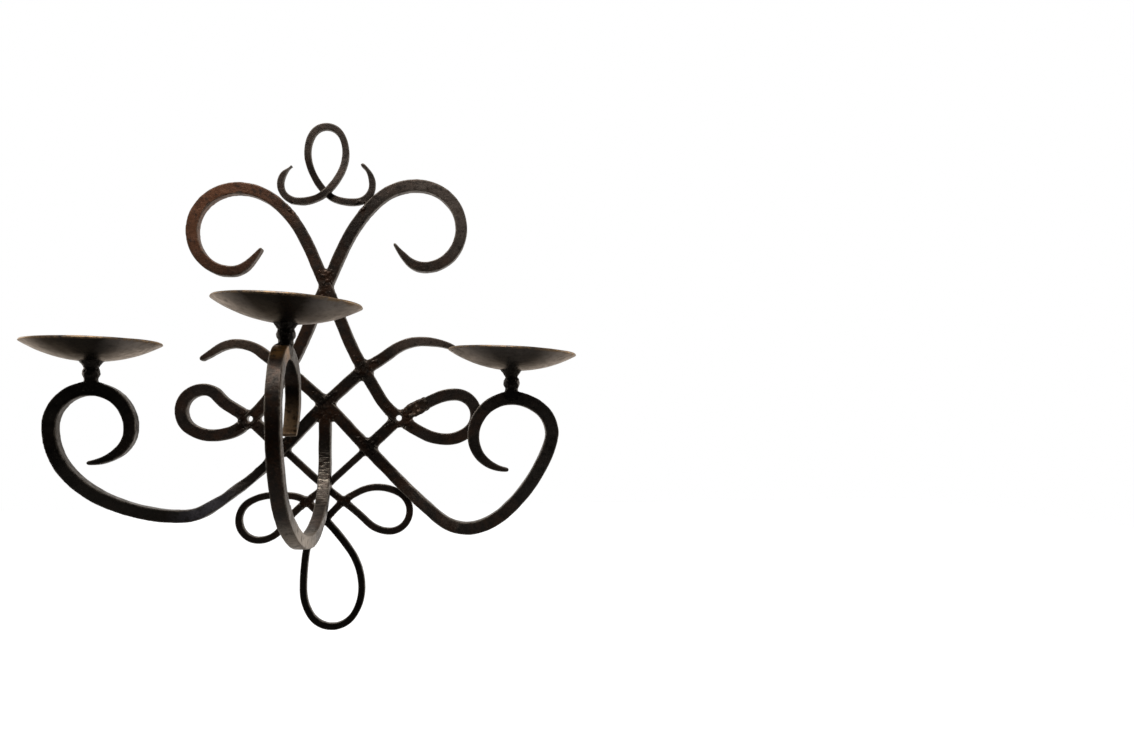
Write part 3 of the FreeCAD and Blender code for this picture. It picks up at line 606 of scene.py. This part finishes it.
def wrought_iron(name, scale, patina, share, wear, roughness, tints=(), chiselled=False):
    """Blackened bar: scale under a share of patina, with wear along its corners."""
    material, tree, shader = new_material(name)
    place = add(tree, "ShaderNodeTexCoord", {}).outputs["Object"]
    clouds, mottle, pits = (
        add(tree, "ShaderNodeTexNoise", {
            "Vector": place, "Scale": 1 / (width * MM), "Detail": detail, "Roughness": rough_part})
        for width, detail, rough_part in IRON_NOISES)
    corner = add(tree, "ShaderNodeNewGeometry", {}).outputs["Pointiness"]
    cloudy = add(tree, "ShaderNodeMapRange", {
        "Value": clouds, "From Min": 0.42, "From Max": 0.66, "To Max": share})
    colour = add(tree, "ShaderNodeMix", {
        "Factor": cloudy, "A": linear(scale), "B": linear(patina)}, data_type="RGBA")
    colour = with_tints(tree, place, mottle, colour, tints)
    black = add(tree, "ShaderNodeMapRange", {
        "Value": mottle, "From Min": 0.46, "From Max": 0.62, "To Max": 0.82})
    colour = add(tree, "ShaderNodeMix", {
        "Factor": black, "A": colour, "B": linear(DEEP_BLACK)}, data_type="RGBA")
    bare = add(tree, "ShaderNodeMapRange", {
        "Value": pits, "From Min": 0.62, "From Max": 0.74, "To Max": wear * 0.2})
    edge = add(tree, "ShaderNodeMapRange", {
        "Value": corner, "From Min": 0.507, "From Max": 0.545, "To Max": wear})
    rubbed = add(tree, "ShaderNodeMapRange", {"Value": mottle, "From Min": 0.35, "From Max": 0.6})
    edge = add(tree, "ShaderNodeMath", {0: edge, 1: rubbed}, operation="MULTIPLY")
    bare = add(tree, "ShaderNodeMath", {0: edge, 1: bare}, operation="MAXIMUM")
    height = mottle
    if chiselled:
        cuts = chisel_cuts(tree, place)
        bare = add(tree, "ShaderNodeMath", {0: bare, 1: cuts}, operation="MAXIMUM")
        height = add(tree, "ShaderNodeMath", {0: mottle, 1: cuts}, operation="SUBTRACT")
    colour = add(tree, "ShaderNodeMix", {
        "Factor": bare, "A": colour, "B": linear(BARE_METAL)}, data_type="RGBA")
    gloss = add(tree, "ShaderNodeMapRange", {
        "Value": mottle, "From Min": 0.3, "From Max": 0.7,
        "To Min": roughness - 0.1, "To Max": roughness + 0.14})
    fine = add(tree, "ShaderNodeBump", {"Height": pits, "Strength": 0.4, "Distance": 0.25 * MM})
    broad = add(tree, "ShaderNodeBump", {
        "Height": height, "Strength": 0.5, "Distance": 0.7 * MM, "Normal": fine})
    feed(tree, shader, {
        "Base Color": colour, "Roughness": gloss, "Normal": broad, "Metallic": 0.45,
        "Specular Tint": linear(WARM_SHEEN)})
    return material


print("noises", [width for width, _, _ in IRON_NOISES], "mm wide")

# %% [markdown]
# ## One iron, many stretches
# The whole frame is the same waxed iron, but heat, handling and age left each stretch a little
# different, and some finishes also carry painted sheen and painted light. Each finish below is the
# same recipe with its own colours and tints, and the line above it says what it gives the eye.

# %% Where the tints lie
BROWN_CURL = ((-112.0, -6.0, 200.0), 94.0, "#6e432a", 0.9)
# painted sheen: a warm grey on the right scroll's curl where light falls on it
PAINTED_SHEEN_RIGHT_SCROLL = ((122.0, -6.0, 212.0), 84.0, "#62574f", 0.8)
# painted sheen along the forward sweep of the right arm
PAINTED_SHEEN_RIGHT_ARM = ((205.0, -100.0, -10.0), 95.0, "#45413d", 0.85)
# painted cool highlight on the lower sweep of the left arm
PAINTED_HIGHLIGHT_LEFT_ARM = ((-108.0, -32.0, -88.0), 40.0, "#55535a", 0.8)
# painted sheen on the bend of each horn, where light catches it
HORN_PAINTED_SHEEN = (
    ((-84.0, -6.0, 72.0), 42.0, "#5e4e43", 0.8),
    ((93.0, -6.0, 74.0), 42.0, "#675950", 0.8),
)
ROUGH_TINTS = (((84.0, -6.0, 10.0), 20.0, "#54402f", 0.45),)
CENTRE_TINTS_AND_PAINTED_LIGHT = (
    # painted light from below on the lower back strand
    ((0.0, -20.0, -80.0), 60.0, "#4b443e", 0.7),
    # painted light from below on the foot of the arm
    ((0.0, -168.0, -112.0), 78.0, "#b8a894", 1.0),
    # painted sheen on the top of the front strand
    ((0.0, -278.0, 22.0), 36.0, "#2c2927", 0.7),
    # painted tan reflection on top of the spiral by the stem
    ((0.0, -252.0, 47.0), 19.0, "#c08c52", 1.0),
    ((0.0, -200.0, -16.0), 34.0, "#8a6c4a", 0.9),
)
print("the centre arm has", len(CENTRE_TINTS_AND_PAINTED_LIGHT), "tints")

# %% Finishes of the frame
# Near black, with brown clouds and grey corners: the plain look of the frame.
bar_iron = wrought_iron(
    "blackened wrought iron", SCALE, PATINA, share=0.8, wear=0.9, roughness=0.4)
# The deepest black, with a wet shine and one painted cool highlight under the left arm.
black_iron = wrought_iron(
    "black waxed wrought iron", "#0a0807", "#1b130e", share=0.7, wear=0.7, roughness=0.36,
    tints=(PAINTED_HIGHLIGHT_LEFT_ARM,))
# A red-brown glow over the left scroll, like thin old rust under wax.
brown_iron = wrought_iron(
    "wrought iron with brown patina", SCALE, PATINA, share=0.8, wear=0.8, roughness=0.42,
    tints=(BROWN_CURL,))
# Black with a broad painted grey sheen where the right arm swings forward.
painted_sheen_arm_iron = wrought_iron(
    "wrought iron with a painted sheen on the arm", SCALE, PATINA, share=0.8, wear=0.9, roughness=0.36,
    tints=(PAINTED_SHEEN_RIGHT_ARM,))
# A lighter black on the side loops.
loop_iron = wrought_iron(
    "lighter black wrought iron", "#2d2622", PATINA, share=0.8, wear=0.9, roughness=0.4)
# The right scroll with a painted soft warm grey sheen on its curl.
painted_sheen_scroll_iron = wrought_iron(
    "wrought iron with painted grey sheen on the scroll", SCALE, PATINA, share=0.7, wear=0.9, roughness=0.4,
    tints=(PAINTED_SHEEN_RIGHT_SCROLL,))
# A painted pale grey-brown sheen on the bend of each horn.
horn_iron = wrought_iron(
    "wrought iron with painted sheen at the horns", SCALE, PATINA, share=0.8, wear=0.9, roughness=0.4,
    tints=HORN_PAINTED_SHEEN)
# Painted light and brown patches down the centre arm, with bright chisel cuts at its back:
# painted sheen on the front strand, painted light from below on its lower back strand and
# foot, and a painted tan reflection on top of the spiral.
centre_iron = wrought_iron(
    "chisel marked wrought iron", "#120c08", "#3a2111", share=0.8, wear=0.9, roughness=0.34,
    tints=CENTRE_TINTS_AND_PAINTED_LIGHT, chiselled=True)
# The thin bars a shade paler than the thick ones.
thin_iron = wrought_iron(
    "blackened thin bar", "#1f1815", "#3d2b20", share=0.7, wear=0.9, roughness=0.4)
print("finishes of the bars ready")

# %% Finishes of welds and stems
# Brown and lumpy, with hardly any bare metal.
rough_iron = wrought_iron(
    "rough welded iron", SCALE, "#3d2a1d", share=0.8, wear=0.25, roughness=0.42,
    tints=ROUGH_TINTS)
# Dull and nearly pure black, as iron is that stayed longest in the fire.
stem_iron = wrought_iron(
    "fire scaled iron", DEEP_BLACK, "#1b120c", share=0.6, wear=0.25, roughness=0.46)
# Smoother and shinier than the bars, because wax gathers in the corners.
weld_iron = wrought_iron(
    "waxed weld metal", "#130e0b", "#40281a", share=0.8, wear=0.15, roughness=0.26)
print("materials:", [material.name for material in bpy.data.materials])

# %% [markdown]
# ## Worn sheet iron
# The pans are thinner and get wiped, so their iron is greyer and brighter, with a bronze cast.
# A dark fan lies under each pan from the stem to the front lip. It is painted shade and a painted
# dark reflection of the stem, the spiral and the dim room in front, with a little soot by the
# stem. The lip is rubbed bright, and the inside is darkened by old wax.

# %% Pan finish
SHEET_GREY = "#857d77"
SHEET_PALE = "#aaa098"
STAIN = "#4a423b"
OLD_WAX = "#3a332d"
# the black of the painted shade and dark reflection under the pans, with a little soot
SOOT_AND_DARK_REFLECTION = "#070605"
LIP_BRONZE = "#8d7458"
# how dark the painted fan of shade and reflection is under each pan
PAN_SOOT_AND_REFLECTION = {"pan_left": 0.95, "pan_centre": 0.97, "pan_right": 0.72}
# Width in millimetres, detail and roughness of the clouds, the mottle and the grit.
SHEET_NOISES = ((24.0, 5.0, 0.6), (5.0, 4.0, 0.6), (1.2, 2.0, 0.5))


def soot_and_reflection_fan(tree, centred, mottle, most):
    """Painted shade and reflection in a fan opening to the front, 0 outside, its most in the
    middle.
    """
    side = add(tree, "ShaderNodeSeparateXYZ", {0: centred})
    fan = add(tree, "ShaderNodeMath", {0: side.outputs["X"]}, operation="ABSOLUTE")
    fan = add(tree, "ShaderNodeMath", {0: side.outputs["Y"], 1: 0.5, 2: fan},
              operation="MULTIPLY_ADD")
    fan = add(tree, "ShaderNodeMath", {0: mottle, 1: 14 * MM, 2: fan}, operation="MULTIPLY_ADD")
    return add(tree, "ShaderNodeMapRange", {
        "Value": fan, "From Min": 27 * MM, "From Max": 3 * MM, "To Max": most})


def sheet_iron(name, bottom, fan_darkness):
    """Worn sheet iron for the pan whose lowest point is given in millimetres."""
    material, tree, shader = new_material(name)
    place = add(tree, "ShaderNodeTexCoord", {}).outputs["Object"]
    clouds, mottle, grit = (
        add(tree, "ShaderNodeTexNoise", {
            "Vector": place, "Scale": 1 / (width * MM), "Detail": detail, "Roughness": rough_part})
        for width, detail, rough_part in SHEET_NOISES)
    centred = add(tree, "ShaderNodeVectorMath", {0: place, 1: Vector(bottom) * MM},
                  operation="SUBTRACT")
    flat = add(tree, "ShaderNodeVectorMath", {0: centred, 1: (1.0, 1.0, 0.0)},
               operation="MULTIPLY")
    radius = add(tree, "ShaderNodeVectorMath", {0: flat}, operation="LENGTH")
    normal = add(tree, "ShaderNodeNewGeometry", {}).outputs["Normal"]
    facing = add(tree, "ShaderNodeSeparateXYZ", {0: normal}).outputs["Z"]
    under = add(tree, "ShaderNodeMapRange", {"Value": facing, "From Min": 0.1, "From Max": -0.1})
    # painted shade and dark reflection under the pan, fanning out to the front lip
    dark_fan = soot_and_reflection_fan(tree, flat, mottle, fan_darkness)
    dark_fan = add(tree, "ShaderNodeMath", {0: dark_fan, 1: under}, operation="MULTIPLY")
    lip = add(tree, "ShaderNodeMapRange", {
        "Value": radius, "From Min": 53.2 * MM, "From Max": 55.2 * MM})
    rubbed = add(tree, "ShaderNodeMapRange", {"Value": mottle, "From Min": 0.35, "From Max": 0.6})
    lip = add(tree, "ShaderNodeMath", {0: lip, 1: rubbed}, operation="MULTIPLY")
    cloudy = add(tree, "ShaderNodeMapRange", {"Value": clouds, "From Min": 0.35, "From Max": 0.7})
    stained = add(tree, "ShaderNodeMapRange", {
        "Value": mottle, "From Min": 0.45, "From Max": 0.75, "To Max": 0.5})
    inside = add(tree, "ShaderNodeMapRange", {
        "Value": facing, "From Min": -0.1, "From Max": 0.1, "To Max": 0.8})
    colour = linear(SHEET_GREY)
    for share, over in ((cloudy, SHEET_PALE), (stained, STAIN), (inside, OLD_WAX),
                        (dark_fan, SOOT_AND_DARK_REFLECTION), (lip, LIP_BRONZE)):
        colour = add(tree, "ShaderNodeMix", {"Factor": share, "A": colour, "B": linear(over)},
                     data_type="RGBA")
    gloss = add(tree, "ShaderNodeMapRange", {
        "Value": mottle, "From Min": 0.3, "From Max": 0.7, "To Min": 0.3, "To Max": 0.46})
    fine = add(tree, "ShaderNodeBump", {"Height": grit, "Strength": 0.3, "Distance": 0.15 * MM})
    broad = add(tree, "ShaderNodeBump", {
        "Height": mottle, "Strength": 0.35, "Distance": 0.4 * MM, "Normal": fine})
    feed(tree, shader, {
        "Base Color": colour, "Roughness": gloss, "Normal": broad, "Metallic": 0.85,
        "Specular Tint": linear(WARM_SHEEN)})
    return material


print("noises of the sheet", [width for width, _, _ in SHEET_NOISES], "mm wide")

# %% [markdown]
# ## Give every piece its finish
# Bars without a finish of their own get the plain one for their thickness. A weld takes the
# finish of weld metal, apart from those at the stems and the rough stretch.

# %% Finishes on the pieces
BAR_FINISHES = {
    "scroll_bar_left": brown_iron,
    "scroll_bar_right": painted_sheen_scroll_iron,
    "horn_left": horn_iron,
    "horn_right": horn_iron,
    "side_loop_left": loop_iron,
    "side_loop_right": loop_iron,
    "arm_right": painted_sheen_arm_iron,
    "arm_centre": centre_iron,
    "arm_left": black_iron,
    "teardrop": black_iron,
}
for name, pan in pans.items():
    sheet_name = "worn sheet iron " + name.removeprefix("pan_")
    pan.data.materials.append(sheet_iron(sheet_name, PAN_BOTTOM[name], PAN_SOOT_AND_REFLECTION[name]))
for name, piece in thick_bars.items():
    piece.data.materials.append(BAR_FINISHES.get(name, bar_iron))
for name, piece in thin_bars.items():
    piece.data.materials.append(BAR_FINISHES.get(name, thin_iron))
for piece in stems.values():
    piece.data.materials.append(stem_iron)
for piece in welds + [rough]:
    at_stem = piece.name.startswith(("weld_foot_", "weld_pan_"))
    finish = rough_iron if piece is rough else stem_iron if at_stem else weld_iron
    piece.data.materials.clear()
    piece.data.materials.append(finish)

# %% [markdown]
# ## Floor
# A pale floor, as in a shop photograph. It looks white to the camera, and far behind the sconce
# also in reflections, while only soft light from it falls on the iron.

# %% Floor
FLOOR_HEIGHT = -420.0
FLOOR_SIZE = 6000.0
FLOOR_FRONT = -600.0
FLOOR_GREY = "#9a9a9a"
FLOOR_GLOW = 0.93
WHITE = (1, 1, 1, 1)
floor_middle = Vector((0, FLOOR_FRONT + FLOOR_SIZE / 2.0, FLOOR_HEIGHT)) * MM
bpy.ops.object.select_all(action="DESELECT")
bpy.ops.mesh.primitive_plane_add(size=FLOOR_SIZE * MM, location=floor_middle)
floor = bpy.context.active_object
floor.name = "floor"
bpy.ops.object.transform_apply(location=True, rotation=True, scale=True)
floor_material, tree, shader = new_material("pale floor")
path = add(tree, "ShaderNodeLightPath", {})
place = add(tree, "ShaderNodeTexCoord", {}).outputs["Object"]
depth = add(tree, "ShaderNodeSeparateXYZ", {0: place}).outputs["Y"]
far = add(tree, "ShaderNodeMapRange", {
    "Value": depth, "From Min": 300 * MM, "From Max": 1500 * MM})
mirrored = add(tree, "ShaderNodeMath", {0: path.outputs["Is Glossy Ray"], 1: far},
               operation="MULTIPLY")
seen = add(tree, "ShaderNodeMath", {
    0: path.outputs["Is Camera Ray"], 1: path.outputs["Is Transmission Ray"]},
    operation="MAXIMUM")
seen = add(tree, "ShaderNodeMath", {0: seen, 1: mirrored}, operation="MAXIMUM")
white = add(tree, "ShaderNodeMath", {0: seen, 1: FLOOR_GLOW}, operation="MULTIPLY")
feed(tree, shader, {
    "Base Color": linear(FLOOR_GREY), "Roughness": 0.9, "Emission Color": WHITE,
    "Emission Strength": white})
floor.data.materials.append(floor_material)
print("floor at", FLOOR_HEIGHT, "mm")

# %% [markdown]
# ## Surround
# The surround is white to the camera. For the light that falls on the iron it is bright only
# behind the sconce, and dim behind the camera, which keeps the front faces of black iron dark
# and leaves bright lines on the edges that turn towards the back.

# %% Surround
world = bpy.data.worlds.new("white surround")
bpy.context.scene.world = world
world.use_nodes = True
tree = world.node_tree
background = next(node for node in tree.nodes if node.type == "BACKGROUND")
path = add(tree, "ShaderNodeLightPath", {})
towards = add(tree, "ShaderNodeTexCoord", {}).outputs["Generated"]
way = add(tree, "ShaderNodeSeparateXYZ", {0: towards})
behind = add(tree, "ShaderNodeMapRange", {
    "Value": way.outputs["Y"], "From Min": 0.15, "From Max": 0.65})
upper = add(tree, "ShaderNodeMapRange", {
    "Value": way.outputs["Z"], "From Min": -0.05, "From Max": 0.8,
    "To Min": 0.01, "To Max": 0.4})
room = add(tree, "ShaderNodeMath", {0: behind, 1: upper}, operation="MAXIMUM")
seen = add(tree, "ShaderNodeMath", {
    0: path.outputs["Is Camera Ray"], 1: path.outputs["Is Transmission Ray"]},
    operation="MAXIMUM")
strength = add(tree, "ShaderNodeMix", {"Factor": seen, "A": room, "B": 1.0}, data_type="FLOAT")
feed(tree, background, {"Color": WHITE, "Strength": strength})
print("surround ready")

# %% [markdown]
# ## Soft lamps
# One soft box above shows the upper faces, and one on each side, a little behind, draws the
# outer edges. Area lamps are used because large sources give iron soft highlights.

# %% Soft lamps
# Each row is a name, a place and a target in millimetres, a width in millimetres, and watts.
LAMPS = (
    ("soft box above", (-150, -620, 900), (0, -40, 160), 650, 9.0),
    ("soft box left", (-1300, 500, 300), (0, -100, 30), 900, 6.0),
    ("soft box right", (1300, 400, 250), (0, -100, 30), 900, 6.0),
)
for name, lamp_place, target, width, power in LAMPS:
    bpy.ops.object.light_add(type="AREA", location=Vector(lamp_place) * MM)
    lamp = bpy.context.active_object
    lamp.name = name
    lamp.data.size = width * MM
    lamp.data.energy = power
    aim = Vector(target) * MM - lamp.location
    lamp.rotation_euler = aim.to_track_quat("-Z", "Y").to_euler()
print(len(LAMPS), "soft lamps")

# %% [markdown]
# ## Camera
# The camera stands about a metre in front of the wall, a little to the right and below the
# middle, and looks slightly up. Its place and turn were solved from the photograph, and are
# given by the directions of its right, its top and its back.

# %% Camera
CAMERA_PLACE = (128.3, -1021.1, -22.0)
TO_RIGHT = (0.9947, -0.1029, -0.0075)
TO_TOP = (0.0014, -0.0598, 0.9982)
TO_BACK = (-0.1031, -0.9929, -0.0593)
camera_data = bpy.data.cameras.new("camera")
camera_data.sensor_width = 36.0
camera_data.lens = 32.89
camera = bpy.data.objects.new("camera", camera_data)
bpy.context.collection.objects.link(camera)
turn = Matrix((TO_RIGHT, TO_TOP, TO_BACK)).transposed().to_4x4()
camera.matrix_world = Matrix.Translation(Vector(CAMERA_PLACE) * MM) @ turn
bpy.context.scene.camera = camera
bpy.context.scene.view_settings.view_transform = "Standard"
print("camera", [round(v, 3) for v in camera.location])
